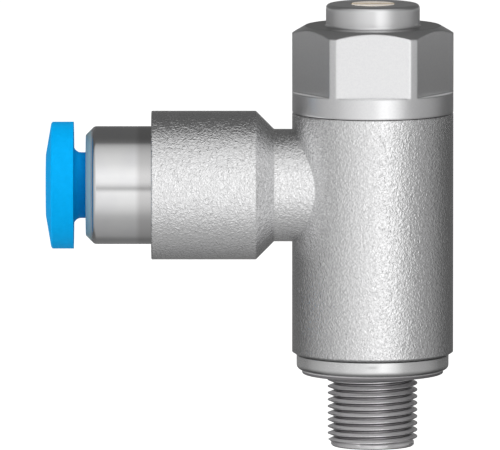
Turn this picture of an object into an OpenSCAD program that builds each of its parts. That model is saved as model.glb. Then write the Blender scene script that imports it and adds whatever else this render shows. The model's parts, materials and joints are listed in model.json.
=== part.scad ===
// One-way flow control valve: a swivel elbow on a hollow bolt, with a push-in port for plastic tube.
// The origin is on the bolt's axis at the underside of its sealing ring. +Z runs up the bolt, and
// the tube leaves toward -X. A lip seal lets air pass freely from the tube to the thread, and the
// slotted screw throttles the air that comes back. All sizes are in millimetres.

/* [Port thread] */
// Outside diameter of the male pipe thread
thread_d = 9.728; // [9.2:0.1:10.4]
// Length of the thread below the sealing face
thread_len = 7.88; // [6.5:0.02:10]
// Height and depth of the chamfer at the thread's end
thread_chamfer = 0.38; // [0.3:0.02:0.8]
// Diameter of the air bore through the thread
port_bore_d = 4.2; // [3.4:0.1:4.6]

/* [Sealing ring and collar] */
// Outside diameter of the sealing ring under the collar
seal_d = 15.27; // [14.4:0.01:15.4]
// How far the sealing ring stands below the collar
seal_proud = 0.45; // [0.25:0.01:0.6]
// Depth of the relief between the thread and the collar
thread_relief = 0.5; // [0.3:0.05:0.7]
// Width of the rib that holds the sealing ring in the collar
seal_rib_w = 1; // [0.7:0.05:1.3]
// Height of that rib
seal_rib_h = 0.5; // [0.3:0.05:0.7]
// Outside diameter of the collar
collar_d = 16.46; // [16:0.02:17]
// Thickness of the collar
collar_h = 1.6; // [1.3:0.1:2.2]
// Radius of the collar's lower edge
collar_round = 0.35; // [0.15:0.01:0.4]
// Diameter of the bolt's spigot, which is pressed into the collar
spigot_d = 6.2; // [5.8:0.1:6.6]
// Length of the spigot below the collar's top
spigot_len = 3.4; // [2.4:0.1:4.5]

/* [Hollow bolt] */
// Diameter of the stem where the swivel body turns on it
stem_d = 11.9; // [11.4:0.05:12.4]
// Diameter of the stem's waist, where the air flows around it
waist_d = 8.8; // [8.2:0.1:9.2]
// Height of the stem's lower land
lower_land_h = 5; // [3.6:0.1:6]
// Height of the stem's upper land
upper_land_h = 3.8; // [2.6:0.1:4.6]
// Diameter of the cross drillings in the stem
cross_hole_d = 2.4; // [1.6:0.1:2.8]
// Height of the lower cross drillings above the collar
lower_hole_h = 7.4; // [6.8:0.1:8]
// Height of the round flange under the hexagon
flange_h = 2.24; // [1.6:0.01:3]
// Hexagon across its flats
hex_af = 15.5; // [15:0.1:16.2]
// Height of the hexagon
hex_h = 7.14; // [5.5:0.1:9]
// Radial width of the hexagon's top chamfer
hex_chamfer = 1.38; // [0.8:0.01:1.8]
// Diameter of the round boss on the hexagon
boss_d = 10.14; // [9:0.1:11]
// Height of the boss
boss_h = 2.36; // [1.6:0.02:3.5]
// Rounding of the boss's upper edge
boss_round = 0.42; // [0.2:0.02:0.6]

/* [Swivel body] */
// Diameter of the upright body, and of the bolt's flange
body_d = 17.44; // [17:0.01:18.4]
// Height of the upright body
body_h = 26.24; // [25.2:0.01:29]
// Height of the tube's axis above the underside of the body
tube_axis_h = 18.33; // [17.4:0.01:19]
// Diameter of the barrel that holds the push-in port
barrel_d = 16.09; // [15.4:0.01:17]
// Distance from the bolt's axis to the barrel's face
barrel_reach = 23.94; // [22.6:0.01:27]
// Length of the barrel's cylinder
barrel_len = 11.31; // [9:0.01:12.2]
// Diameter of the neck between the barrel and the body
neck_d = 12.18; // [11:0.01:13]
// Height of the chamfer at the foot of the body
body_chamfer = 0.28; // [0.15:0.01:0.4]
// Play between the body and the faces above and below it
swivel_play = 0.06; // [0.03:0.01:0.12]

/* [Push-in port] */
// Outside diameter of the tube that the port takes
tube_d = 6; // [5.8:0.05:6.2]
// Outside diameter of the sleeve
sleeve_d = 12.76; // [12.4:0.01:13.2]
// How far the sleeve stands out of the barrel
sleeve_reach = 7.08; // [6.7:0.05:8]
// Depth of the socket in the barrel that takes the sleeve
socket_depth = 7.62; // [7:0.1:8.4]
// Chamfer at the front of the sleeve
sleeve_chamfer = 0.95; // [0.5:0.05:1.1]
// Radius between that chamfer and the sleeve's outside
sleeve_round = 0.5; // [0.1:0.05:0.8]
// Wall of the sleeve
sleeve_wall = 1.04; // [0.85:0.01:1.15]
// Thickness of the sleeve's front lip
lip_t = 1; // [0.8:0.05:1.1]
// Diameter of the hole in the front lip
lip_hole_d = 7.25; // [7.2:0.01:7.5]
// Depth of the tube's seat in the tube stop
tube_seat_depth = 5.7; // [4.5:0.1:6]
// Height of the tube seal along the tube
tube_seal_h = 1.7; // [1.4:0.05:2]
// Number of teeth in the grip ring
grip_teeth = 8; // [6:1:12]
// Thickness of the grip ring's steel
grip_t = 0.4; // [0.3:0.02:0.5]

/* [Release ring] */
// Outside diameter of the release ring
ring_d = 13.73; // [12.8:0.01:14.6]
// Height of the release ring's cylinder
ring_w = 2.3; // [1.5:0.05:3]
// Height of the shallow cone on its front
ring_cone_h = 0.57; // [0.3:0.01:1]
// Gap between the ring and the sleeve
ring_gap = 1.3; // [1.25:0.05:1.8]
// Outside diameter of its neck
ring_neck_d = 7.12; // [6.9:0.01:7.16]
// Fillet between the neck and the ring
ring_fillet = 0.8; // [0.4:0.05:0.9]
// Travel of the ring when it is pressed
ring_travel = 1.1; // [0.8:0.05:1.15]

/* [Regulating screw] */
// Diameter of the screw's fine thread
screw_d = 6; // [5.7:0.1:6.4]
// Length of the screw's fine thread
screw_thread_len = 4.1; // [3:0.1:4.6]
// Diameter of the screw's slotted end
screw_end_d = 4.8; // [4.4:0.1:5.2]
// How far the slotted end stands above the boss
screw_proud = 0.05; // [0:0.05:0.6]
// Width of the screwdriver slot
slot_w = 0.8; // [0.6:0.05:1.2]
// Depth of the screwdriver slot
slot_depth = 1.3; // [0.8:0.1:2]
// Lift of the screw from shut to fully open
screw_lift = 4; // [2.5:0.1:4.2]
// Diameter of the screw's lower part, in its bore
screw_land_d = 5.04; // [4.9:0.02:5.2]
// Diameter of the screw's rod
screw_rod_d = 3; // [2.4:0.1:3.2]
// Diameter of the hole in the throttle seat
throttle_d = 3; // [2.4:0.1:3.2]
// Height of the throttle seat
seat_h = 2.2; // [1.8:0.1:2.6]
// Diameter of the needle's tip
needle_tip_d = 1.2; // [0.8:0.1:1.6]

/* [Seals and clearances] */
// Section of the two seal rings on the stem
stem_ring_t = 0.8; // [0.6:0.02:1]
// Section of the seal ring on the screw
screw_ring_t = 0.7; // [0.6:0.02:0.8]
// Section of the seal ring around the spigot
spigot_ring_t = 0.8; // [0.6:0.02:0.9]
// Section of the seal ring behind the sleeve
sleeve_ring_t = 1.05; // [0.9:0.05:1.1]
// Clearance on the radius where one piece turns or slides in another
run_gap = 0.05; // [0.03:0.01:0.08]
// Clearance on the radius of a seal in its bore
seal_gap = 0.03; // [0.02:0.01:0.05]
// Clearance on the radius between pieces that are fixed together
fit_gap = 0.02; // [0.01:0.005:0.04]
// Thickness of the slide washer under the flange
washer_t = 0.5; // [0.4:0.05:0.8]

/* [Hidden] */
$fn = 96;
// How far a cutter runs past the face that it opens
cut = 1;
// Small break on turned edges
edge = 0.15;

// Radii
thread_r = thread_d / 2;
port_r = port_bore_d / 2;
seal_r = seal_d / 2;
collar_r = collar_d / 2;
spigot_r = spigot_d / 2;
land_r = stem_d / 2;
bore_r = land_r + run_gap;
waist_r = waist_d / 2;
body_r = body_d / 2;
boss_r = boss_d / 2;
hex_corner_r = hex_af / 2 / cos(30);
barrel_r = barrel_d / 2;
neck_r = neck_d / 2;
tube_r = tube_d / 2;
sleeve_r = sleeve_d / 2;
sleeve_bore_r = sleeve_r - sleeve_wall;
cartridge_r = sleeve_bore_r - fit_gap;
lip_hole_r = lip_hole_d / 2;
ring_r = ring_d / 2;
ring_neck_r = ring_neck_d / 2;
screw_r = screw_d / 2;
screw_end_r = screw_end_d / 2;
screw_rod_r = screw_rod_d / 2;
screw_land_r = screw_land_d / 2;
throttle_r = throttle_d / 2;

// Heights up the bolt
collar_top = seal_proud + collar_h;
body_bottom = collar_top + swivel_play;
body_top = body_bottom + body_h;
flange_bottom = body_top + swivel_play;
hex_bottom = flange_bottom + flange_h;
hex_top = hex_bottom + hex_h;
boss_top = hex_top + boss_h;
tube_z = body_bottom + tube_axis_h;
spigot_bottom = collar_top - spigot_len;

// Stem: lands, seal grooves, and the groove and rib that hold the check seal
ring_groove_w = stem_ring_t + 0.3;
ring_groove_r = bore_r - seal_gap - stem_ring_t - fit_gap;
lower_land_top = collar_top + lower_land_h;
upper_land_bottom = flange_bottom - upper_land_h;
lower_ring_z = (collar_top + lower_land_top) / 2;
upper_ring_z = (upper_land_bottom + flange_bottom) / 2 - washer_t / 2;
lower_hole_z = collar_top + lower_hole_h;
clip_t = 0.65;
clip_depth = 0.2;
hole_clear = 1.3;
clip_bottom = lower_hole_z + cross_hole_d / 2 + hole_clear;
clip_top = clip_bottom + clip_t;
clip_rim = 0.55;
clip_r = waist_r + clip_rim;
washer_in_r = bore_r + 0.15;
washer_w = 1.2;
washer_out_r = washer_in_r + washer_w;
clip_opening = 0.8;
check_heel_h = 1.7;
check_top = clip_top + fit_gap + check_heel_h;
check_heel_rim = 0.7;
check_heel_r = waist_r + check_heel_rim;
check_lip_t = 0.36;
rib_h = 0.7;
rib_rim = 0.8;
rib_r = waist_r + rib_rim;

// Throttle seat, and the air chamber above it
seat_bottom = clip_bottom + 0.3;
seat_top = seat_bottom + seat_h;
seat_edge = 0.5;
chamber_r = screw_land_r + 2 * run_gap - fit_gap;
seat_r = chamber_r - 0.1;
chamber_h = 1.8;
upper_hole_z = seat_top + cross_hole_d / 2 + chamber_h;

// Regulating screw, shut: its lip, fine thread, seal groove and rod
bolt_lip_t = 0.5;
bolt_lip_bottom = boss_top - bolt_lip_t;
screw_top = boss_top + screw_proud;
screw_thread_top = bolt_lip_bottom - screw_lift - 0.15;
screw_thread_bottom = screw_thread_top - screw_thread_len;
screw_bore_bottom = screw_thread_bottom - 0.3;
screw_groove_w = screw_ring_t + 0.4;
screw_ring_z = screw_bore_bottom - screw_lift - screw_groove_w / 2 - 0.5;
screw_ring_r = chamber_r - seal_gap - screw_ring_t / 2;
screw_groove_r = screw_ring_r - screw_ring_t / 2 - fit_gap;
screw_land_bottom = screw_ring_z - screw_groove_w / 2 - 0.6;
screw_undercut = 0.25;
valve_head_r = throttle_r + seat_edge;
needle_len = 3.9;
head_h = 0.8;

// Places along the tube, measured from the bolt's axis
sleeve_front = barrel_reach + sleeve_reach;
socket_bottom = barrel_reach - socket_depth;
sleeve_rear = socket_bottom + sleeve_ring_t;
lip_rear = sleeve_front - lip_t;
mouth_gap = 0.15;
ring_rear = sleeve_front + ring_gap;
ring_corner = 0.15;
ring_front = ring_rear + ring_w + ring_corner + ring_cone_h;
fillet_in = max(0, ring_fillet - ring_gap + ring_travel);
lip_mouth_r = max(lip_hole_r, ring_neck_r + ring_fillet - sqrt(ring_fillet ^ 2 - fillet_in ^ 2) + mouth_gap);
barb_r = ring_neck_r + 0.37;
barb_front = lip_rear - run_gap;
barb_len = 0.9;
nose_rear = barb_front - barb_len - 0.4;
nose_chamfer = 0.25;
passage_r = port_r;

// Grip ring, its support, the tube seal and the tube stop behind one another in the sleeve
grip_rim = 0.7;
grip_step_r = barb_r + grip_rim;
grip_lean = 1.28;
nose_clear = 0.15;
grip_front = nose_rear + nose_chamfer - ring_travel - nose_clear + (grip_step_r - ring_neck_r) * grip_lean;
grip_tip_r = tube_r - run_gap;
grip_tip = grip_front - (grip_step_r - grip_tip_r) * grip_lean;
grip_slot_w = 0.5;
support_front = grip_front - grip_t - fit_gap;
support_throat_r = tube_r + 0.1;
support_foot = 0.75;
support_rear = grip_tip - grip_t - support_foot;
seal_front = support_rear - fit_gap;
seal_rear = seal_front - tube_seal_h;
seal_lip_r = tube_r - 0.1;
stop_front = seal_rear - fit_gap;
stop_rear = socket_bottom + fit_gap;
stop_step = sleeve_rear + 0.2;
stop_foot_r = sleeve_r - sleeve_ring_t - 0.1;
tube_end = stop_front - tube_seat_depth;

// Points of an arc, from one angle to another
function arc(centre, r, from, to, steps = 8) =
    [for (i = [0:steps]) let (a = from + (to - from) * i / steps) centre + r * [cos(a), sin(a)]];

// Four points that cut a square groove w wide, at height z, into a land of radius r
function groove(r, root_r, z, w) =
    [[r, z - w / 2], [root_r, z - w / 2], [root_r, z + w / 2], [r, z + w / 2]];

// A solid turned about +Z from half of its section
module turned(section) {
    rotate_extrude()
        polygon(section);
}

// A seal ring of round section about +Z, at radius r and height z
module seal_ring(r, t, z) {
    translate([0, 0, z])
        rotate_extrude()
            translate([r, 0])
                circle(d = t);
}

// Lays children, built up +Z from the bolt's axis, along the tube's axis toward -X
module along_tube() {
    translate([0, 0, tube_z])
        rotate([0, -90, 0])
            children();
}

// Two crossed drillings through the stem at height z
module cross_holes(z) {
    for (turn = [45, 135])
        translate([0, 0, z])
            rotate([0, 90, turn])
                cylinder(d = cross_hole_d, h = stem_d + 2 * cut, center = true);
}

// The bolt's turned outside: spigot, stem, flange, the hexagon's blank and the boss
module bolt_blank() {
    boss_fillet = 0.2;
    flange_round = 0.12;
    turned(concat(
        [
            [0, spigot_bottom],
            [spigot_r - edge, spigot_bottom],
            [spigot_r, spigot_bottom + edge],
            [spigot_r, collar_top],
            [land_r - edge, collar_top],
            [land_r, collar_top + edge]
        ],
        groove(land_r, ring_groove_r, lower_ring_z, ring_groove_w),
        [
            [land_r, lower_land_top - edge],
            [land_r - edge, lower_land_top],
            [waist_r, lower_land_top],
            [waist_r, clip_bottom - fit_gap],
            [waist_r - clip_depth, clip_bottom - fit_gap],
            [waist_r - clip_depth, clip_top],
            [waist_r, clip_top],
            [waist_r, check_top + fit_gap],
            [rib_r, check_top + fit_gap],
            [rib_r, check_top + rib_h],
            [waist_r, check_top + rib_h + (rib_r - waist_r) / 2],
            [waist_r, upper_land_bottom],
            [land_r - edge, upper_land_bottom],
            [land_r, upper_land_bottom + edge]
        ],
        groove(land_r, ring_groove_r, upper_ring_z, ring_groove_w),
        [[land_r, flange_bottom]],
        arc([body_r - flange_round, flange_bottom + flange_round], flange_round, 270, 360, 6),
        [
            [body_r, hex_top - hex_chamfer * tan(30)],
            [body_r - hex_chamfer, hex_top]
        ],
        arc([boss_r + boss_fillet, hex_top + boss_fillet], boss_fillet, 270, 180, 4),
        arc([boss_r - boss_round, boss_top - boss_round], boss_round, 0, 90),
        [[0, boss_top]]
    ));
}

// What the flats leave standing: everything up to the flange, and a hexagon above it
module hex_mask() {
    translate([0, 0, spigot_bottom - cut])
        cylinder(r = body_r + cut, h = hex_bottom - spigot_bottom + cut);
    translate([0, 0, hex_bottom])
        cylinder(r = hex_corner_r, h = hex_h + boss_h + cut, $fn = 6);
}

// The bolt's bore: air way, pocket of the throttle seat, chamber, fine thread and turned-in lip
module bolt_bore() {
    turned([
        [0, spigot_bottom - cut],
        [port_r, spigot_bottom - cut],
        [port_r, seat_bottom],
        [seat_r + fit_gap, seat_bottom],
        [seat_r + fit_gap, seat_top],
        [chamber_r, seat_top + edge],
        [chamber_r, screw_bore_bottom - (screw_r + run_gap - chamber_r)],
        [screw_r + run_gap, screw_bore_bottom],
        [screw_r + run_gap, bolt_lip_bottom],
        [screw_end_r + run_gap, bolt_lip_bottom],
        [screw_end_r + run_gap, boss_top + cut],
        [0, boss_top + cut]
    ]);
}

// Hollow bolt: hexagon, flange and boss above, and the stem that the body swivels on
module hollow_bolt() {
    color("gainsboro")
        difference() {
            intersection() {
                bolt_blank();
                hex_mask();
            }
            bolt_bore();
            cross_holes(lower_hole_z);
            cross_holes(upper_hole_z);
        }
}

// Connector pressed onto the bolt's spigot: collar above, male pipe thread below
module port_connector() {
    seal_rib_r = (thread_r + seal_r) / 2;
    pocket_r = spigot_r + spigot_ring_t + 0.15;
    color("silver")
        turned(concat(
            [
                [port_r, -thread_len],
                [thread_r - thread_chamfer, -thread_len],
                [thread_r, thread_chamfer - thread_len],
                [thread_r, 0],
                [thread_r - thread_relief, 0],
                [thread_r - thread_relief, seal_proud],
                [seal_rib_r - seal_rib_w / 2 - fit_gap, seal_proud],
                [seal_rib_r - seal_rib_w / 2 - fit_gap, seal_proud + seal_rib_h + fit_gap],
                [seal_rib_r + seal_rib_w / 2 + fit_gap, seal_proud + seal_rib_h + fit_gap],
                [seal_rib_r + seal_rib_w / 2 + fit_gap, seal_proud]
            ],
            arc([collar_r - collar_round, seal_proud + collar_round], collar_round, 270, 360),
            [
                [collar_r, collar_top - edge],
                [collar_r - edge, collar_top],
                [pocket_r, collar_top],
                [pocket_r, collar_top - spigot_ring_t],
                [spigot_r + fit_gap, collar_top - spigot_ring_t],
                [spigot_r + fit_gap, spigot_bottom - fit_gap],
                [port_r, spigot_bottom - fit_gap]
            ]
        ));
}

// Flat sealing ring under the collar, with a rib that holds it in the collar's groove
module port_seal() {
    seal_rib_r = (thread_r + seal_r) / 2;
    seal_bore_r = thread_r + fit_gap;
    round_r = min(0.12, seal_proud / 3);
    color("dimgray")
        turned(concat(
            [[seal_bore_r, 0]],
            arc([seal_r - round_r, round_r], round_r, 270, 360, 4),
            [
                [seal_r, seal_proud],
                [seal_rib_r + seal_rib_w / 2, seal_proud],
                [seal_rib_r + seal_rib_w / 2, seal_proud + seal_rib_h],
                [seal_rib_r - seal_rib_w / 2, seal_proud + seal_rib_h],
                [seal_rib_r - seal_rib_w / 2, seal_proud],
                [seal_bore_r, seal_proud]
            ]
        ));
}

// Seal ring in the collar's pocket, around the spigot
module spigot_o_ring() {
    color("black")
        seal_ring(spigot_r + fit_gap + spigot_ring_t / 2, spigot_ring_t - fit_gap,
            collar_top - spigot_ring_t / 2);
}

// Brass seat pressed into the bolt's bore, which the screw's needle throttles
module throttle_seat() {
    color("goldenrod")
        turned([
            [throttle_r, seat_bottom + edge],
            [throttle_r + edge, seat_bottom],
            [seat_r, seat_bottom],
            [seat_r, seat_top - edge],
            [seat_r - edge, seat_top],
            [throttle_r + seat_edge, seat_top],
            [throttle_r, seat_top - seat_edge]
        ]);
}

// Check seal: a cup whose lip folds in for air from the tube, and presses out against the way back
module check_seal() {
    lip_r = bore_r - seal_gap;
    cup_depth = 0.9;
    color("black")
        turned([
            [waist_r + fit_gap, clip_top + fit_gap],
            [waist_r + 0.5, clip_top + fit_gap],
            [waist_r + 0.55, clip_top + cup_depth],
            [lip_r - check_lip_t, clip_top + fit_gap],
            [lip_r, clip_top + fit_gap],
            [lip_r - 0.05, clip_top + 0.4],
            [check_heel_r, check_top - 0.3],
            [check_heel_r - 0.1, check_top],
            [waist_r + fit_gap, check_top]
        ]);
}

// Split clip in the stem's groove, which carries the check seal
module check_seal_clip() {
    color("ivory")
        difference() {
            turned([
                [waist_r - clip_depth + fit_gap, clip_bottom],
                [clip_r, clip_bottom],
                [clip_r, clip_top],
                [waist_r - clip_depth + fit_gap, clip_top]
            ]);
            translate([0, -clip_opening / 2, clip_bottom - cut])
                cube([clip_r + cut, clip_opening, clip_t + 2 * cut]);
        }
}

// Seal ring in the stem's lower groove
module lower_o_ring() {
    color("black")
        seal_ring(bore_r - seal_gap - stem_ring_t / 2, stem_ring_t, lower_ring_z);
}

// Seal ring in the stem's upper groove
module upper_o_ring() {
    color("black")
        seal_ring(bore_r - seal_gap - stem_ring_t / 2, stem_ring_t, upper_ring_z);
}

// Slide washer between the flange and the recess in the body's top
module slide_washer() {
    color("ivory")
        turned([
            [washer_in_r, flange_bottom - washer_t],
            [washer_out_r, flange_bottom - washer_t],
            [washer_out_r, flange_bottom],
            [washer_in_r, flange_bottom]
        ]);
}

// Outside of the cast swivel body: an upright body with the barrel's neck, cone and cylinder
module housing_blank() {
    barrel_edge = 0.1;
    top_round = 0.12;
    cone_top = barrel_reach - barrel_len;
    turned(concat(
        [
            [0, body_bottom],
            [body_r - body_chamfer * 1.5, body_bottom],
            [body_r, body_bottom + body_chamfer]
        ],
        arc([body_r - top_round, body_top - top_round], top_round, 0, 90, 6),
        [[0, body_top]]
    ));
    along_tube()
        turned([
            [0, 0],
            [neck_r, 0],
            [neck_r, cone_top - (barrel_r - neck_r)],
            [barrel_r, cone_top],
            [barrel_r, barrel_reach - barrel_edge],
            [barrel_r - barrel_edge, barrel_reach],
            [0, barrel_reach]
        ]);
}

// Swivel body: bored for the stem, with the air passage and the socket for the sleeve
module swivel_housing() {
    color("darkgray")
        difference() {
            housing_blank();
            translate([0, 0, body_bottom - cut])
                cylinder(r = bore_r, h = body_h + 2 * cut);
            translate([0, 0, flange_bottom - washer_t - run_gap])
                cylinder(r = washer_out_r + run_gap, h = washer_t + cut);
            along_tube()
                cylinder(r = passage_r, h = barrel_reach);
            along_tube()
                translate([0, 0, socket_bottom])
                    cylinder(r = sleeve_r + fit_gap, h = socket_depth + cut);
        }
}

// Sleeve pressed into the barrel, whose front lip keeps the release ring in
module push_in_sleeve() {
    front_round = 0.12;
    shoulder = sleeve_front - sleeve_chamfer;
    color("whitesmoke")
        along_tube()
            turned(concat(
                [
                    [lip_hole_r, lip_rear],
                    [grip_step_r, lip_rear],
                    [grip_step_r, grip_front + fit_gap],
                    [sleeve_bore_r, grip_front + fit_gap],
                    [sleeve_bore_r, sleeve_rear],
                    [sleeve_r - edge, sleeve_rear],
                    [sleeve_r, sleeve_rear + edge]
                ],
                arc([sleeve_r - sleeve_round, shoulder - sleeve_round * tan(22.5)], sleeve_round, 0, 45),
                arc([sleeve_r - sleeve_chamfer - front_round * tan(22.5), sleeve_front - front_round],
                    front_round, 45, 90, 4),
                [
                    [lip_mouth_r, sleeve_front],
                    [lip_hole_r, sleeve_front - lip_mouth_r + lip_hole_r]
                ]
            ));
}

// Seal ring squeezed between the sleeve's end and the bottom of the socket
module sleeve_o_ring() {
    color("black")
        along_tube()
            seal_ring(sleeve_r - sleeve_ring_t / 2, sleeve_ring_t - 2 * fit_gap,
                socket_bottom + sleeve_ring_t / 2);
}

// Tube stop: guides the tube's end and stops it at a shoulder
module tube_stop() {
    mouth = 0.3;
    color("dimgray")
        along_tube()
            turned([
                [passage_r, stop_rear],
                [stop_foot_r, stop_rear],
                [stop_foot_r, stop_step],
                [cartridge_r, stop_step],
                [cartridge_r, stop_front],
                [tube_r + run_gap + mouth, stop_front],
                [tube_r + run_gap, stop_front - mouth],
                [tube_r + run_gap, tube_end],
                [passage_r, tube_end]
            ]);
}

// Tube seal with its lip toward the pressure
module tube_seal() {
    color("black")
        along_tube()
            turned([
                [tube_r + 0.5, seal_rear],
                [cartridge_r, seal_rear],
                [cartridge_r, seal_front],
                [tube_r + 0.35, seal_front],
                [seal_lip_r, seal_front - tube_seal_h * 0.35],
                [seal_lip_r, seal_front - tube_seal_h * 0.55]
            ]);
}

// Support behind the grip ring, hollow so that the teeth can spring back
module grip_support() {
    throat_front = grip_tip - grip_t - 0.1;
    color("dimgray")
        along_tube()
            turned([
                [support_throat_r, support_rear],
                [cartridge_r, support_rear],
                [cartridge_r, support_front],
                [grip_step_r + 0.15, support_front],
                [grip_step_r - 0.05, support_front - 0.25],
                [support_throat_r, throat_front]
            ]);
}

// Sprung steel ring with leaning teeth, which grip the tube
module grip_ring() {
    color("lightsteelblue")
        along_tube()
            difference() {
                turned([
                    [cartridge_r, grip_front - grip_t],
                    [cartridge_r, grip_front],
                    [grip_step_r, grip_front],
                    [grip_tip_r, grip_tip],
                    [grip_tip_r + 0.12, grip_tip - 0.25],
                    [grip_step_r + 0.12, grip_front - grip_t]
                ]);
                for (i = [0:grip_teeth - 1])
                    rotate([0, 0, (i + 0.5) * 360 / grip_teeth])
                        translate([0, -grip_slot_w / 2, grip_tip - cut])
                            cube([grip_step_r, grip_slot_w, grip_front - grip_tip + 2 * cut]);
            }
}

// Release ring: pressed by hand, its nose opens the grip ring's teeth
module release_ring() {
    mouth_r = tube_r + 0.1;
    rim_r = mouth_r + 0.2;
    rim_round = 0.12;
    slot_w = 0.7;
    slot_end = lip_rear + lip_t / 2;
    color("deepskyblue")
        along_tube()
            difference() {
                turned(concat(
                    [
                        [mouth_r, nose_rear],
                        [ring_neck_r - nose_chamfer, nose_rear],
                        [ring_neck_r, nose_rear + nose_chamfer],
                        [ring_neck_r, barb_front - barb_len],
                        [barb_r, barb_front - 0.3],
                        [barb_r, barb_front],
                        [ring_neck_r, barb_front]
                    ],
                    arc([ring_neck_r + ring_fillet, ring_rear - ring_fillet], ring_fillet, 180, 90),
                    [
                        [ring_r, ring_rear],
                        [ring_r, ring_rear + ring_w],
                        [ring_r - 1.5 * ring_corner, ring_rear + ring_w + ring_corner]
                    ],
                    arc([rim_r, ring_front - rim_round], rim_round, 75, 165, 4),
                    [[mouth_r, ring_front - 0.6]]
                ));
                for (turn = [0, 90])
                    rotate([0, 0, turn])
                        translate([-barb_r - cut, -slot_w / 2, nose_rear - cut])
                            cube([2 * (barb_r + cut), slot_w, slot_end - nose_rear + cut]);
            }
}

// Seal ring that rises with the screw and seals it in the bolt's bore
module screw_o_ring() {
    color("black")
        seal_ring(screw_ring_r, screw_ring_t, screw_ring_z);
}

// Regulating screw, shut: slotted end, fine thread, seal groove, rod and throttle needle
module regulating_screw() {
    seat_clear = run_gap;
    head_bottom = seat_top - seat_edge + seat_clear;
    needle_r = throttle_r - run_gap;
    end_edge = 0.12;
    color("goldenrod")
        difference() {
            turned(concat(
                [
                    [0, head_bottom - needle_len],
                    [needle_tip_d / 2, head_bottom - needle_len],
                    [needle_r, head_bottom - run_gap],
                    [valve_head_r, head_bottom - run_gap + valve_head_r - needle_r],
                    [valve_head_r, seat_top + head_h],
                    [screw_rod_r, seat_top + head_h + valve_head_r - screw_rod_r],
                    [screw_rod_r, screw_land_bottom],
                    [screw_land_r - edge, screw_land_bottom],
                    [screw_land_r, screw_land_bottom + edge]
                ],
                groove(screw_land_r, screw_groove_r, screw_ring_z, screw_groove_w),
                [
                    [screw_land_r, screw_bore_bottom - screw_undercut],
                    [screw_land_r - screw_undercut, screw_bore_bottom],
                    [screw_land_r - screw_undercut, screw_thread_bottom],
                    [screw_r - screw_undercut, screw_thread_bottom],
                    [screw_r, screw_thread_bottom + screw_undercut],
                    [screw_r, screw_thread_top - screw_undercut],
                    [screw_r - screw_undercut, screw_thread_top],
                    [screw_end_r, screw_thread_top],
                    [screw_end_r, screw_top - end_edge],
                    [screw_end_r - end_edge, screw_top],
                    [0, screw_top]
                ]
            ));
            translate([-screw_end_r - cut, -slot_w / 2, screw_top - slot_depth])
                cube([2 * (screw_end_r + cut), slot_w, slot_depth + cut]);
        }
}

hollow_bolt();
port_connector();
port_seal();
spigot_o_ring();
throttle_seat();
check_seal();
check_seal_clip();
lower_o_ring();
upper_o_ring();
slide_washer();
swivel_housing();
push_in_sleeve();
sleeve_o_ring();
tube_stop();
tube_seal();
grip_support();
grip_ring();
release_ring();
screw_o_ring();
regulating_screw();
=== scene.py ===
"""Looks for the one-way flow control valve: materials, the port's helical thread, studio and camera."""
import json
import math

import bmesh
import bpy
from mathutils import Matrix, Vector


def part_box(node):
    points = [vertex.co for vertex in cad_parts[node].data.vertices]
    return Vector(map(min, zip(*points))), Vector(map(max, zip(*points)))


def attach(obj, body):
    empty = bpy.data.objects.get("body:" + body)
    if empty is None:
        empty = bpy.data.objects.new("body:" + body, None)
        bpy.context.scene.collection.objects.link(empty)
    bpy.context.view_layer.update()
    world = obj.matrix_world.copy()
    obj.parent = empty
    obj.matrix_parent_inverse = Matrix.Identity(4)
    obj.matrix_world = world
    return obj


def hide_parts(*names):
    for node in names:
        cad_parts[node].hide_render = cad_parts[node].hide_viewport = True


MM = 0.001

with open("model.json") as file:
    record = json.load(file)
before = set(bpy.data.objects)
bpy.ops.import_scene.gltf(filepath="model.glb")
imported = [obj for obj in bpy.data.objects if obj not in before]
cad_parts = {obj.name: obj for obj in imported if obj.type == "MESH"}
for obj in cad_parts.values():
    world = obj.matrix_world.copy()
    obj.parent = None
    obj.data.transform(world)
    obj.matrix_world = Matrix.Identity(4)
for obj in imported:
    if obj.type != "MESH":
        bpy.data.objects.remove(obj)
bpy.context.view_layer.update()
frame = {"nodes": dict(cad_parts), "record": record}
NODES = frame["nodes"]
scene = bpy.context.scene
scene.view_settings.view_transform = "Standard"


# Camera: a long lens in front of the valve, looking a little down on it
CAM_AIM = Vector((-13.27, 0, 16.095)) * MM
CAM_DISTANCE = 1.8
CAM_ELEVATION = math.radians(6.6)
CAM_LENS = 1198.2
CAM_CLIP_END = 20

camera = bpy.data.objects.new("camera", bpy.data.cameras.new("camera"))
scene.collection.objects.link(camera)
camera.location = CAM_AIM + CAM_DISTANCE * Vector((0, -math.cos(CAM_ELEVATION), math.sin(CAM_ELEVATION)))
camera.rotation_euler = (math.pi / 2 - CAM_ELEVATION, 0, 0)
camera.data.lens = CAM_LENS
camera.data.clip_end = CAM_CLIP_END
scene.camera = camera


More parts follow.
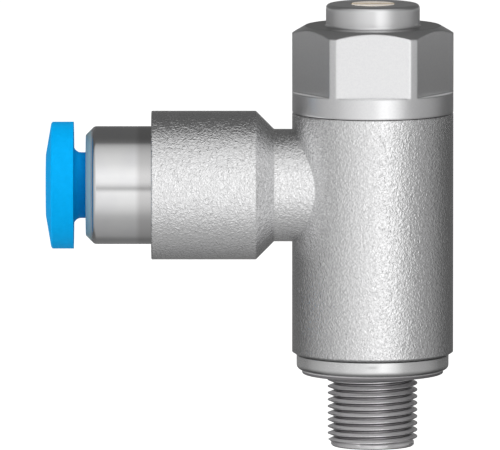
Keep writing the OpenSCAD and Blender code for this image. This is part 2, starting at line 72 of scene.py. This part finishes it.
# Node helpers
class Graph:
    """A small wrapper that adds shader nodes and links them."""

    def __init__(self, tree):
        self.tree = tree
        tree.nodes.clear()

    def add(self, kind, inputs=None, **settings):
        """A node with its settings, and with its inputs by name or number."""
        node = self.tree.nodes.new(kind)
        for key, value in settings.items():
            setattr(node, key, value)
        for key, value in (inputs or {}).items():
            self.put(node.inputs[key], value)
        return node

    def put(self, socket, value):
        if isinstance(value, bpy.types.NodeSocket):
            self.tree.links.new(value, socket)
        else:
            socket.default_value = value

    def math(self, operation, *values):
        return self.add("ShaderNodeMath", dict(enumerate(values)), operation=operation).outputs[0]

    def times(self, first, *others):
        for other in others:
            first = self.math("MULTIPLY", first, other)
        return first

    def coords(self, kind):
        return self.add("ShaderNodeTexCoord").outputs[kind]

    def axis(self, vector, letter):
        return self.add("ShaderNodeSeparateXYZ", {"Vector": vector}).outputs[letter]

    def facing_up(self):
        """1 where the surface faces up, 0 on a wall and -1 where it faces down."""
        return self.axis(self.coords("Normal"), "Z")

    def ramp(self, value, low, high, to_low=0.0, to_high=1.0, smooth=True):
        """value mapped from low..high to to_low..to_high, and held outside."""
        node = self.add(
            "ShaderNodeMapRange",
            {"Value": value, "From Min": low, "From Max": high, "To Min": to_low, "To Max": to_high},
            interpolation_type="SMOOTHSTEP" if smooth else "LINEAR",
        )
        return node.outputs["Result"]

    def past(self, place, span, start=0.0):
        """0 before a span and 1 past it; the span is in mm from a start in metres."""
        low, high = (start + distance * MM for distance in span)
        return self.ramp(place, low, high)

    def before(self, place, span, start=0.0):
        """1 before a span and 0 past it; the span is in mm from a start in metres."""
        low, high = (start + distance * MM for distance in span)
        return self.ramp(place, low, high, 1.0, 0.0)

    def ease(self, factor, at_zero, at_one):
        return self.ramp(factor, 0.0, 1.0, at_zero, at_one)

    def vary(self, noise, low=0.0, high=1.0, spread=0.2):
        """A number from low to high that follows a noise, most of which lies within spread of 0.5."""
        return self.ramp(noise, 0.5 - spread, 0.5 + spread, low, high)

    def bump(self, height, distance, normal=None):
        inputs = {"Height": height, "Distance": distance, "Strength": 1.0}
        if normal is not None:
            inputs["Normal"] = normal
        return self.add("ShaderNodeBump", inputs).outputs[0]

    def bevel(self, radius):
        return self.add("ShaderNodeBevel", {"Radius": radius}, samples=6).outputs[0]

    def mix(self, factor, a, b, kind="RGBA"):
        """a and b mixed by a factor: two colours, or two numbers where kind is FLOAT."""
        node = self.add("ShaderNodeMix", {"Factor": factor, "A": a, "B": b}, data_type=kind)
        return node.outputs["Result"]


class Surface(Graph):
    """A material with one Principled shader, whose place is the object's own coordinates."""

    def __init__(self, name, **values):
        self.material = new_material(name)
        super().__init__(self.material.node_tree)
        self.shader = self.add("ShaderNodeBsdfPrincipled")
        self.add("ShaderNodeOutputMaterial", {"Surface": self.shader.outputs[0]})
        self.place = self.coords("Object")
        self.set(**values)

    def set(self, **values):
        """Numbers, colours or node outputs for the shader's inputs, such as Base_Color for Base Color."""
        for key, value in values.items():
            self.put(self.shader.inputs[key.replace("_", " ")], value)

    def noise(self, scale, detail=2.0, rough=0.5, distortion=0.0, stretch=(1, 1, 1)):
        scaled = self.add("ShaderNodeMapping", {"Vector": self.place, "Scale": stretch}).outputs[0]
        settings = {"Scale": scale, "Detail": detail, "Roughness": rough, "Distortion": distortion}
        return self.add("ShaderNodeTexNoise", {"Vector": scaled, **settings}).outputs["Fac"]


def new_material(name):
    material = bpy.data.materials.new(name)
    material.use_nodes = True
    return material


def rgb(r, g, b):
    return (r, g, b, 1.0)


def grey(level):
    return rgb(level, level, level)


# Port connector's thread, in mm: a right-hand helix that runs out into a short plain end
THREAD_CREST = 4.864
THREAD_ROOT = 4.12
THREAD_PITCH = 0.727
THREAD_LENGTH = 7.88
THREAD_PHASE = -1.091
END_R = 4.49
END_LENGTH = 0.43
# How fast the crests rise and the roots deepen above the end, in mm for each mm of height
CREST_SLOPE = 1.3
ROOT_SLOPE = 0.9
# Flats at the crest and the root, as shares of half a pitch, and the mesh rows, as shares of a pitch
CREST_FLAT = 0.08
ROOT_FLAT = 0.08
ROWS_IN_PITCH = (0.0, 0.04, 0.07, 0.25, 0.43, 0.46, 0.5, 0.54, 0.57, 0.75, 0.93, 0.96)


# Materials
def cast_metal():
    """Grainy, wrinkled die-cast zinc, with painted shade at its foot where the housing meets the collar."""
    g = Surface("cast_zinc", Metallic=1.0)
    housing_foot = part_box("swivel_housing")[0][2]
    grain = g.noise(3900, detail=1.5, distortion=0.6)
    speckle = g.noise(4200, detail=1.0)
    wrinkles = g.noise(2500, detail=1.0, rough=0.4, distortion=0.9)
    ridges = g.math("ABSOLUTE", g.math("SUBTRACT", wrinkles, 0.5))
    ridged = g.bump(ridges, 0.12 * MM, g.bevel(0.2 * MM))
    # Dark grey base colour within about 0.3 mm of the housing's foot: painted shade in the gap to the
    # collar.
    above_joint_shade = g.past(g.axis(g.place, "Z"), (0.11, 0.33), housing_foot)
    tone = g.mix(g.vary(speckle, spread=0.15), rgb(0.80, 0.80, 0.805), rgb(0.90, 0.90, 0.905))
    g.set(
        Base_Color=g.mix(above_joint_shade, grey(0.25), tone),
        Roughness=g.vary(grain, 0.13, 0.18),
        Normal=g.bump(grain, 0.06 * MM, ridged),
    )
    return g.material


def bolt_metal():
    """Satin metal: the hexagon's top face and the boss are darker, and the flange's top is less metallic."""
    g = Surface("satin_bolt", Roughness=0.28)
    bolt_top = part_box("hollow_bolt")[1][2]
    fine = g.noise(5200, rough=0.6)
    height = g.axis(g.place, "Z")
    top_face = g.ramp(g.facing_up(), 0.9, 0.98)
    above_flange = g.past(height, (-7.15, -6.15), bolt_top)
    on_hexagon = g.times(top_face, g.before(height, (-1.65, -1.15), bolt_top), above_flange)
    on_flange = g.times(top_face, g.before(height, (-9.65, -8.15), bolt_top))
    boss = g.past(height, (-2.95, -2.35), bolt_top)
    tone = g.mix(g.vary(fine), rgb(0.86, 0.86, 0.87), rgb(0.90, 0.90, 0.905))
    tone = g.mix(boss, tone, rgb(0.81, 0.81, 0.815))
    g.set(
        Base_Color=g.mix(on_hexagon, tone, grey(0.45)),
        Metallic=g.ease(on_flange, 1.0, 0.3),
        Normal=g.bump(fine, 0.001 * MM, g.bevel(0.32 * MM)),
    )
    return g.material


def polished_metal():
    """The sleeve: its chamfer is satin, tinted teal as a painted reflection of the blue ring, with a painted
    dark reflection line at its edge; the zone beside the barrel is darker.
    """
    g = Surface("polished_nickel")
    sleeve_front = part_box("push_in_sleeve")[0][0]
    lines = g.noise(1400, stretch=(9, 0.35, 0.35))
    clouds = g.noise(350)
    along = g.axis(g.place, "X")
    chamfer_finish_and_reflection = g.before(along, (0.63, 0.83), sleeve_front)
    # A darker band where the chamfer meets the cylinder, 0.48 to 0.87 mm behind the front: a painted dark
    # reflection of that edge.
    edge_line_start = g.past(along, (0.48, 0.68), sleeve_front)
    edge_reflection_line = g.times(edge_line_start, g.before(along, (0.75, 0.87), sleeve_front))
    # Beside the barrel the base colour is darker.
    rear = g.past(along, (5.22, 6.02), sleeve_front)
    tone = g.mix(g.vary(clouds), rgb(0.77, 0.77, 0.78), grey(0.81))
    tone = g.mix(rear, tone, rgb(0.61, 0.605, 0.605))
    # The chamfer's teal base colour is a painted reflection of the blue release ring; the chamfer is also
    # less metallic and rougher.
    tone = g.mix(chamfer_finish_and_reflection, tone, rgb(0.54, 0.68, 0.66))
    g.set(
        Base_Color=g.mix(edge_reflection_line, tone, rgb(0.46, 0.47, 0.48)),
        Metallic=g.ramp(chamfer_finish_and_reflection, 0.0, 1.0, 1.0, 0.55, smooth=False),
        Roughness=g.math("ADD", g.vary(lines, 0.09, 0.14), g.times(chamfer_finish_and_reflection, 0.3)),
        Normal=g.bump(lines, 0.0006 * MM, g.bevel(0.14 * MM)),
    )
    return g.material


def plated_metal():
    """The port connector: a satin collar, painted shade at its foot and top edge, and a thread with painted
    shade on its lower flanks and painted highlights on its crests.
    """
    g = Surface("bright_nickel")
    turning = g.noise(1200, stretch=(0.15, 0.15, 4))
    height = g.axis(g.place, "Z")
    squares = [g.math("POWER", g.axis(g.place, letter), 2.0) for letter in "XY"]
    radius = g.math("SQRT", g.math("ADD", *squares))

    on_collar = g.past(height, (0.0, 0.3))
    above_foot_shade = g.past(height, (0.55, 1.1))
    joint_shade = g.past(height, (1.97, 2.06))
    # The collar's base colour darkens towards its rounded foot: painted shade where the rounding faces down.
    collar = g.mix(above_foot_shade, grey(0.38), grey(0.81))
    # Dark grey at the collar's top edge, by the housing: painted shade in the gap.
    collar = g.mix(joint_shade, collar, grey(0.3))

    above_root = g.past(radius, (0.06, 0.24), THREAD_ROOT * MM)
    upper_flank_light = g.times(g.ramp(g.facing_up(), -0.2, 0.2), above_root)
    crest_highlight = g.past(radius, (-0.124, -0.024), THREAD_CREST * MM)
    # Lower flanks are painted dark as painted shade, upper flanks lighter, and the crests carry a painted
    # highlight.
    thread = g.mix(upper_flank_light, rgb(0.45, 0.44, 0.45), rgb(0.82, 0.81, 0.82))
    thread = g.mix(crest_highlight, thread, rgb(0.96, 0.95, 0.96))
    matt = g.times(upper_flank_light, g.ease(crest_highlight, 0.65, 0.0))
    thread_shine = g.math("SUBTRACT", 1.0, matt)

    edge = g.bevel(g.ease(on_collar, 0.012 * MM, 0.06 * MM))
    g.set(
        Base_Color=g.mix(on_collar, thread, collar),
        Metallic=g.mix(on_collar, thread_shine, g.ease(above_foot_shade, 1.0, 0.8), kind="FLOAT"),
        Roughness=g.vary(turning, 0.12, 0.18),
        Normal=g.bump(g.times(turning, on_collar), 0.0006 * MM, edge),
    )
    return g.material


def seal_plastic():
    """The seal ring, dark grey with a painted highlight along its upper edge."""
    g = Surface("seal_plastic", Metallic=0.0)
    fine = g.noise(1500, detail=3.0, rough=0.6)
    # A paler band at the top edge: a painted highlight.
    rim_highlight = g.past(g.axis(g.place, "Z"), (0.26, 0.36))
    g.set(
        Base_Color=g.mix(rim_highlight, rgb(0.16, 0.155, 0.16), rgb(0.56, 0.55, 0.56)),
        Roughness=g.vary(fine, 0.32, 0.40),
        Normal=g.bump(fine, 0.003 * MM, g.bevel(0.1 * MM)),
    )
    return g.material


def brass():
    """Turned brass whose upper end faces are pale and matt: a painted reflection."""
    g = Surface("turned_brass")
    fine = g.noise(3000, detail=3.0)
    # Faces that look up get a pale, almost non-metallic colour: a painted reflection.
    end = g.ramp(g.facing_up(), 0.2, 0.6)
    pale = g.mix(g.vary(fine), rgb(0.99, 0.89, 0.78), rgb(1.0, 0.94, 0.86))
    g.set(
        Base_Color=g.mix(end, rgb(0.92, 0.80, 0.58), pale),
        Metallic=g.ease(end, 0.9, 0.05),
        Roughness=g.vary(fine, 0.34, 0.42),
        Normal=g.bump(fine, 0.002 * MM, g.bevel(0.06 * MM)),
    )
    return g.material


def spring_steel():
    g = Surface("spring_steel", Metallic=1.0)
    fine = g.noise(2500)
    g.set(
        Base_Color=g.mix(fine, rgb(0.60, 0.61, 0.62), rgb(0.70, 0.71, 0.72)),
        Roughness=g.vary(fine, 0.18, 0.26),
        Normal=g.bump(fine, 0.002 * MM),
    )
    return g.material


def plastic(name, dark, light, rough, gloss=0.5):
    """A moulded plastic or rubber, finely mottled between a dark and a light tone."""
    g = Surface(name, Metallic=0.0, Specular_IOR_Level=gloss)
    fine = g.noise(1500, detail=3.0, rough=0.6)
    g.set(
        Base_Color=g.mix(g.vary(fine, spread=0.25), rgb(*dark), rgb(*light)),
        Roughness=g.vary(fine, rough - 0.04, rough + 0.04),
        Normal=g.bump(fine, 0.003 * MM, g.bevel(0.1 * MM)),
    )
    return g.material


MATERIALS = {
    "bolt_metal": bolt_metal(),
    "plated_metal": plated_metal(),
    "polished_metal": polished_metal(),
    "cast_metal": cast_metal(),
    "screw_brass": brass(),
    "spring_steel": spring_steel(),
    "blue_plastic": plastic("blue_acetal", (0.001, 0.41, 0.90), (0.002, 0.44, 0.95), 0.42, gloss=0.03),
    "dark_plastic": plastic("black_nylon", (0.03, 0.03, 0.032), (0.05, 0.05, 0.052), 0.5),
    "bearing_plastic": plastic("ivory_acetal", (0.68, 0.65, 0.56), (0.75, 0.72, 0.64), 0.45),
    "seal_ring_plastic": seal_plastic(),
    "black_rubber": plastic("black_rubber", (0.012, 0.012, 0.012), (0.022, 0.022, 0.022), 0.55),
}
SLOT_OF = {part["node"]: part["material_slot"] for part in frame["record"]["subparts"]}
for node_name, obj in NODES.items():
    obj.data.materials.clear()
    obj.data.materials.append(MATERIALS[SLOT_OF[node_name]])


# Port connector's collar and bore, in mm, with heights from the face that the seal rests on
COLLAR_R = 8.23
COLLAR_TOP = 2.05
COLLAR_BOTTOM = 0.45
FOOT_ROUND = 0.5
TOP_ROUND = 0.11
RELIEF_R = 4.364
GROOVE_INNER_R = 5.73
GROOVE_OUTER_R = 6.77
GROOVE_TOP = 0.97
POCKET_R = 4.05
POCKET_BOTTOM = 1.25
SOCKET_R = 3.12
SOCKET_BOTTOM = -1.37
BORE_R = 2.1
MOUTH_CHAMFER = 0.2
END_CHAMFER = 0.12
TURN_STEPS = 144
ANGLES = [math.tau * i / TURN_STEPS for i in range(TURN_STEPS)]
SHARP_ANGLE = math.radians(25)
MERGE_DISTANCE = 1e-7


def arc(centre_r, centre_z, radius, start, end, steps):
    """Points (r, z) along an arc of the section, from one angle in degrees to another."""
    turns = [math.radians(start + (end - start) * i / steps) for i in range(steps + 1)]
    return [(centre_r + radius * math.cos(a), centre_z + radius * math.sin(a)) for a in turns]


def thread_radius(z, angle):
    """Radius of the thread at height z and at an angle about the axis, for a right-hand helix."""
    turns = (z - THREAD_PHASE) / THREAD_PITCH - angle / math.tau
    from_crest = abs(turns - round(turns)) * 2
    depth = (min(max(from_crest, CREST_FLAT), 1 - ROOT_FLAT) - CREST_FLAT) / (1 - CREST_FLAT - ROOT_FLAT)
    r = THREAD_CREST - (THREAD_CREST - THREAD_ROOT) * depth
    above_end = max(z + THREAD_LENGTH - END_LENGTH, 0)
    highest = min(END_R + above_end * CREST_SLOPE, THREAD_CREST)
    lowest = END_R - above_end * ROOT_SLOPE
    return min(max(r, lowest), highest)


def row(radii, heights):
    """Points once round the axis, with a radius and a height in mm at each angle."""
    return [(r * math.cos(a) * MM, r * math.sin(a) * MM, z * MM) for r, z, a in zip(radii, heights, ANGLES)]


def plain_row(r, z):
    return row([r] * TURN_STEPS, [z] * TURN_STEPS)


def thread_row(heights):
    return row([thread_radius(z, a) for z, a in zip(heights, ANGLES)], heights)


def helix_rows(bottom, top):
    """Rows that climb with the thread, held between the bottom and the top."""
    first = math.floor((bottom - THREAD_PHASE) / THREAD_PITCH) - 2
    last = math.ceil((top - THREAD_PHASE) / THREAD_PITCH) + 1
    rows = []
    for turn in range(first, last):
        for share in ROWS_IN_PITCH:
            climb = [THREAD_PHASE + (turn + share + a / math.tau) * THREAD_PITCH for a in ANGLES]
            rows.append(thread_row([min(max(z, bottom), top) for z in climb]))
    return rows


def join_rings(bm, rings):
    """Faces between each level ring and the next."""
    rows = [[bm.verts.new(p) for p in points] for points in rings]
    for low, high in zip(rows, rows[1:]):
        for i in range(TURN_STEPS):
            j = (i + 1) % TURN_STEPS
            bm.faces.new((low[i], high[i], high[j], low[j]))


def join_helix(bm, rows):
    """Faces between climbing rows: the end of each row meets the start of the row one turn above."""
    grid = [[bm.verts.new(p) for p in points] for points in rows]
    for k in range(len(grid) - 1):
        for i in range(TURN_STEPS):
            j = (i + 1) % TURN_STEPS
            up = len(ROWS_IN_PITCH) if j == 0 else 0
            if k + 1 + up < len(grid):
                bm.faces.new((grid[k][i], grid[k + up][j], grid[k + 1 + up][j], grid[k + 1][i]))


def collar_section():
    """Outline (r, z) from the thread's top round the collar, and down the bore to the thread's end."""
    return [
        (RELIEF_R, 0.0),
        (RELIEF_R, COLLAR_BOTTOM),
        (GROOVE_INNER_R, COLLAR_BOTTOM),
        (GROOVE_INNER_R, GROOVE_TOP),
        (GROOVE_OUTER_R, GROOVE_TOP),
        (GROOVE_OUTER_R, COLLAR_BOTTOM),
        *arc(COLLAR_R - FOOT_ROUND, COLLAR_BOTTOM + FOOT_ROUND, FOOT_ROUND, -90, 0, 4),
        *arc(COLLAR_R - TOP_ROUND, COLLAR_TOP - TOP_ROUND, TOP_ROUND, 0, 90, 2),
        (POCKET_R, COLLAR_TOP),
        (POCKET_R, POCKET_BOTTOM),
        (SOCKET_R, POCKET_BOTTOM),
        (SOCKET_R, SOCKET_BOTTOM),
        (BORE_R, SOCKET_BOTTOM),
        (BORE_R, MOUTH_CHAMFER - THREAD_LENGTH),
        (BORE_R + MOUTH_CHAMFER, -THREAD_LENGTH),
        (END_R - END_CHAMFER, -THREAD_LENGTH),
    ]


def connector():
    """The collar and the bore are level rings; between them the thread's rows climb with its helix."""
    top, bottom = 0.0, END_CHAMFER - THREAD_LENGTH
    rings = [plain_row(r, z) for r, z in collar_section()]
    bm = bmesh.new()
    join_rings(bm, [thread_row([top] * TURN_STEPS), *rings, thread_row([bottom] * TURN_STEPS)])
    join_helix(bm, helix_rows(bottom, top))
    bmesh.ops.remove_doubles(bm, verts=bm.verts, dist=MERGE_DISTANCE)
    bmesh.ops.recalc_face_normals(bm, faces=bm.faces)
    mesh = bpy.data.meshes.new("port_connector_threaded")
    bm.to_mesh(mesh)
    bm.free()
    obj = bpy.data.objects.new("port_connector_threaded", mesh)
    scene.collection.objects.link(obj)
    mesh.materials.append(MATERIALS["plated_metal"])
    for polygon in mesh.polygons:
        polygon.use_smooth = True
    mesh.set_sharp_from_angle(angle=SHARP_ANGLE)
    return obj


threaded = connector()
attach(threaded, "bolt")
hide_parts("port_connector")


# Studio, in metres: a floor, soft light from the front, and a bowl that only reflections see
FLOOR_Z = -0.070
FLOOR_RADIUS = 6.0
FLOOR_GREY = 0.8
BOWL_RADIUS = 0.35
# Radius of the pin hole in the middle of the floor and the bowl, and the steps once round them
STAGE_HOLE = 0.0005
STAGE_STEPS = 96
CENTRE = (-0.008, 0, 0.02)
LIGHT_AIM = Vector((0, 0, 0.015))
# The floor is plain grey up to WHITE_FROM from this point, and brighter by WHITE_LIFT past WHITE_TO; the
# grey patch behind the valve is painted shade, a broad soft shadow.
SHADE_PATCH_CENTRE = (0, 0.11, 0)
WHITE_FROM, WHITE_TO = 0.10, 0.23
WHITE_LIFT = 0.74
# Brightness around the valve at eye level, by azimuth: 0 is the camera's side and 90 is +X
AROUND = [
    (-180, 0.20), (-145, 0.15), (-122, 0.12), (-107, 0.23), (-82, 0.38), (-61, 0.48), (-47, 0.55),
    (-40, 0.66), (-20, 0.78), (0, 0.97), (8, 1.14), (17, 1.33), (26, 1.16), (38, 0.85),
    (48, 0.50), (65, 0.36), (87, 0.32), (101, 0.24), (120, 0.11), (150, 0.11), (180, 0.20),
]
# Brightness in the plane through the camera and the bolt: 90 is overhead and 180 is behind
OVER = [
    (-180, 0.20), (-134, 0.22), (-114, 0.29), (-87, 0.38), (-66, 0.44), (-55, 0.52), (-41, 0.74),
    (-28, 0.91), (-9, 1.05), (-6.5, 0.95), (-4, 0.78), (-1.5, 0.53), (1, 0.56), (4.5, 0.82), (12, 1.06),
    (24, 1.12), (34, 1.04), (49, 0.86), (66, 0.75), (82, 0.60), (90.5, 0.46), (98, 0.15), (110, 0.115),
    (160, 0.12), (180, 0.20),
]


def profile(g, degrees, points):
    """Brightness at an angle, interpolated between points."""
    node = g.add("ShaderNodeValToRGB", {"Fac": g.ramp(degrees, -180.0, 180.0, smooth=False)})
    stops = node.color_ramp.elements
    while len(stops) < len(points):
        stops.new(0.5)
    for stop, (angle, _) in zip(stops, points):
        stop.position = (angle + 180) / 360
    for stop, (_, level) in zip(stops, points):
        stop.color = grey(level)
    return node.outputs["Color"]


def surroundings(g, way):
    """Brightness of the studio in a direction from the valve.

    Directions to the side take the brightness around and the others the brightness overhead. Away from
    eye level it is never more than the brightness overhead.
    """
    front = g.times(g.axis(way, "Y"), -1.0)
    side, up = g.axis(way, "X"), g.axis(way, "Z")
    azimuth = g.math("DEGREES", g.math("ARCTAN2", side, front))
    over = g.math("DEGREES", g.math("ARCTAN2", up, front))
    around, upright = profile(g, azimuth, AROUND), profile(g, over, OVER)
    steepness = g.math("ABSOLUTE", g.math("DEGREES", g.math("ARCSINE", up)))
    not_steep = g.ramp(steepness, 50.0, 70.0, 1.0, 0.0)
    eye_level = g.ramp(steepness, 12.0, 28.0, 1.0, 0.0)
    aside = g.times(g.ramp(g.math("ABSOLUTE", side), 0.04, 0.2), not_steep)
    anywhere = g.mix(aside, upright, around, kind="FLOAT")
    near_level = g.mix(g.times(aside, eye_level), upright, around, kind="FLOAT")
    return g.math("MINIMUM", anywhere, near_level)


def floor_material():
    """Plain grey near the valve, where it takes the shadow and a broad patch of painted shade; further off
    white to all but diffuse rays.
    """
    material = new_material("pale_floor")
    g = Graph(material.node_tree)
    path = g.add("ShaderNodeLightPath").outputs
    seen = g.math("MAXIMUM", path["Is Camera Ray"], path["Is Glossy Ray"])
    seen = g.math("MAXIMUM", seen, path["Is Transmission Ray"])
    away = g.add("ShaderNodeVectorMath", {0: g.coords("Object"), 1: SHADE_PATCH_CENTRE}, operation="DISTANCE")
    # The white lift is held back near a point behind the valve: painted shade.
    lift = g.ramp(away.outputs["Value"], WHITE_FROM, WHITE_TO, 0.0, WHITE_LIFT)
    diffuse = g.add("ShaderNodeBsdfDiffuse", {"Color": grey(FLOOR_GREY)})
    white = g.add("ShaderNodeEmission", {"Color": grey(1), "Strength": g.times(lift, seen)})
    both = g.add("ShaderNodeAddShader", {0: diffuse.outputs[0], 1: white.outputs[0]})
    g.add("ShaderNodeOutputMaterial", {"Surface": both.outputs[0]})
    return material


def bowl_material():
    """The studio's brightness in the direction from the valve to each point of the bowl."""
    material = new_material("reflected_bowl")
    g = Graph(material.node_tree)
    way = g.add("ShaderNodeVectorMath", {0: g.coords("Object"), 1: CENTRE}, operation="SUBTRACT")
    unit = g.add("ShaderNodeVectorMath", {0: way.outputs[0]}, operation="NORMALIZE")
    glow = g.add("ShaderNodeEmission", {"Color": grey(1), "Strength": surroundings(g, unit.outputs[0])})
    g.add("ShaderNodeOutputMaterial", {"Surface": glow.outputs[0]})
    material.cycles.emission_sampling = "NONE"
    return material


def studio_world():
    """White to camera and transmission rays, and the studio's brightness to all others."""
    world = bpy.data.worlds.new("studio")
    world.use_nodes = True
    g = Graph(world.node_tree)
    path = g.add("ShaderNodeLightPath").outputs
    seen = g.math("MAXIMUM", path["Is Camera Ray"], path["Is Transmission Ray"])
    level = g.mix(seen, surroundings(g, g.coords("Generated")), 1.0, kind="FLOAT")
    light = g.add("ShaderNodeBackground", {"Color": grey(1), "Strength": level})
    g.add("ShaderNodeOutputWorld", {"Surface": light.outputs[0]})
    return world


def turned_surface(name, section, material):
    """A surface turned about the bolt's axis from (radius, height) points in metres."""
    verts, faces = [], []
    for k, (r, z) in enumerate(section):
        for i in range(STAGE_STEPS):
            a = math.tau * i / STAGE_STEPS
            verts.append((r * math.cos(a), r * math.sin(a), z))
            if k:
                low, high, j = (k - 1) * STAGE_STEPS, k * STAGE_STEPS, (i + 1) % STAGE_STEPS
                faces.append((low + i, low + j, high + j, high + i))
    mesh = bpy.data.meshes.new(name)
    mesh.from_pydata(verts, [], faces)
    mesh.materials.append(material)
    obj = bpy.data.objects.new(name, mesh)
    scene.collection.objects.link(obj)
    return obj


def area_light(name, place, size, energy):
    """A soft light aimed at the valve, which reflections don't show."""
    lamp = bpy.data.lights.new(name, "AREA")
    lamp.shape = "RECTANGLE"
    lamp.size, lamp.size_y = size
    lamp.energy = energy
    obj = bpy.data.objects.new(name, lamp)
    scene.collection.objects.link(obj)
    obj.location = place
    obj.rotation_euler = (LIGHT_AIM - obj.location).to_track_quat("-Z", "Y").to_euler()
    obj.visible_glossy = False
    obj.visible_camera = False


def studio():
    turned_surface("floor", [(STAGE_HOLE, FLOOR_Z), (FLOOR_RADIUS, FLOOR_Z)], floor_material())
    bowl_z = FLOOR_Z + MM
    bowl_section = [(STAGE_HOLE, bowl_z), (BOWL_RADIUS, bowl_z), (BOWL_RADIUS, CENTRE[2])]
    bowl = turned_surface("bowl", bowl_section, bowl_material())
    bowl.visible_camera = False
    bowl.visible_diffuse = False
    bowl.visible_shadow = False
    bowl.visible_transmission = False
    scene.world = studio_world()
    area_light("front_light", (-0.68, -0.65, 0.03), (0.9, 0.6), 6.3)
    area_light("top_light", (0.05, -0.05, 0.8), (0.4, 0.4), 1.7)


studio()
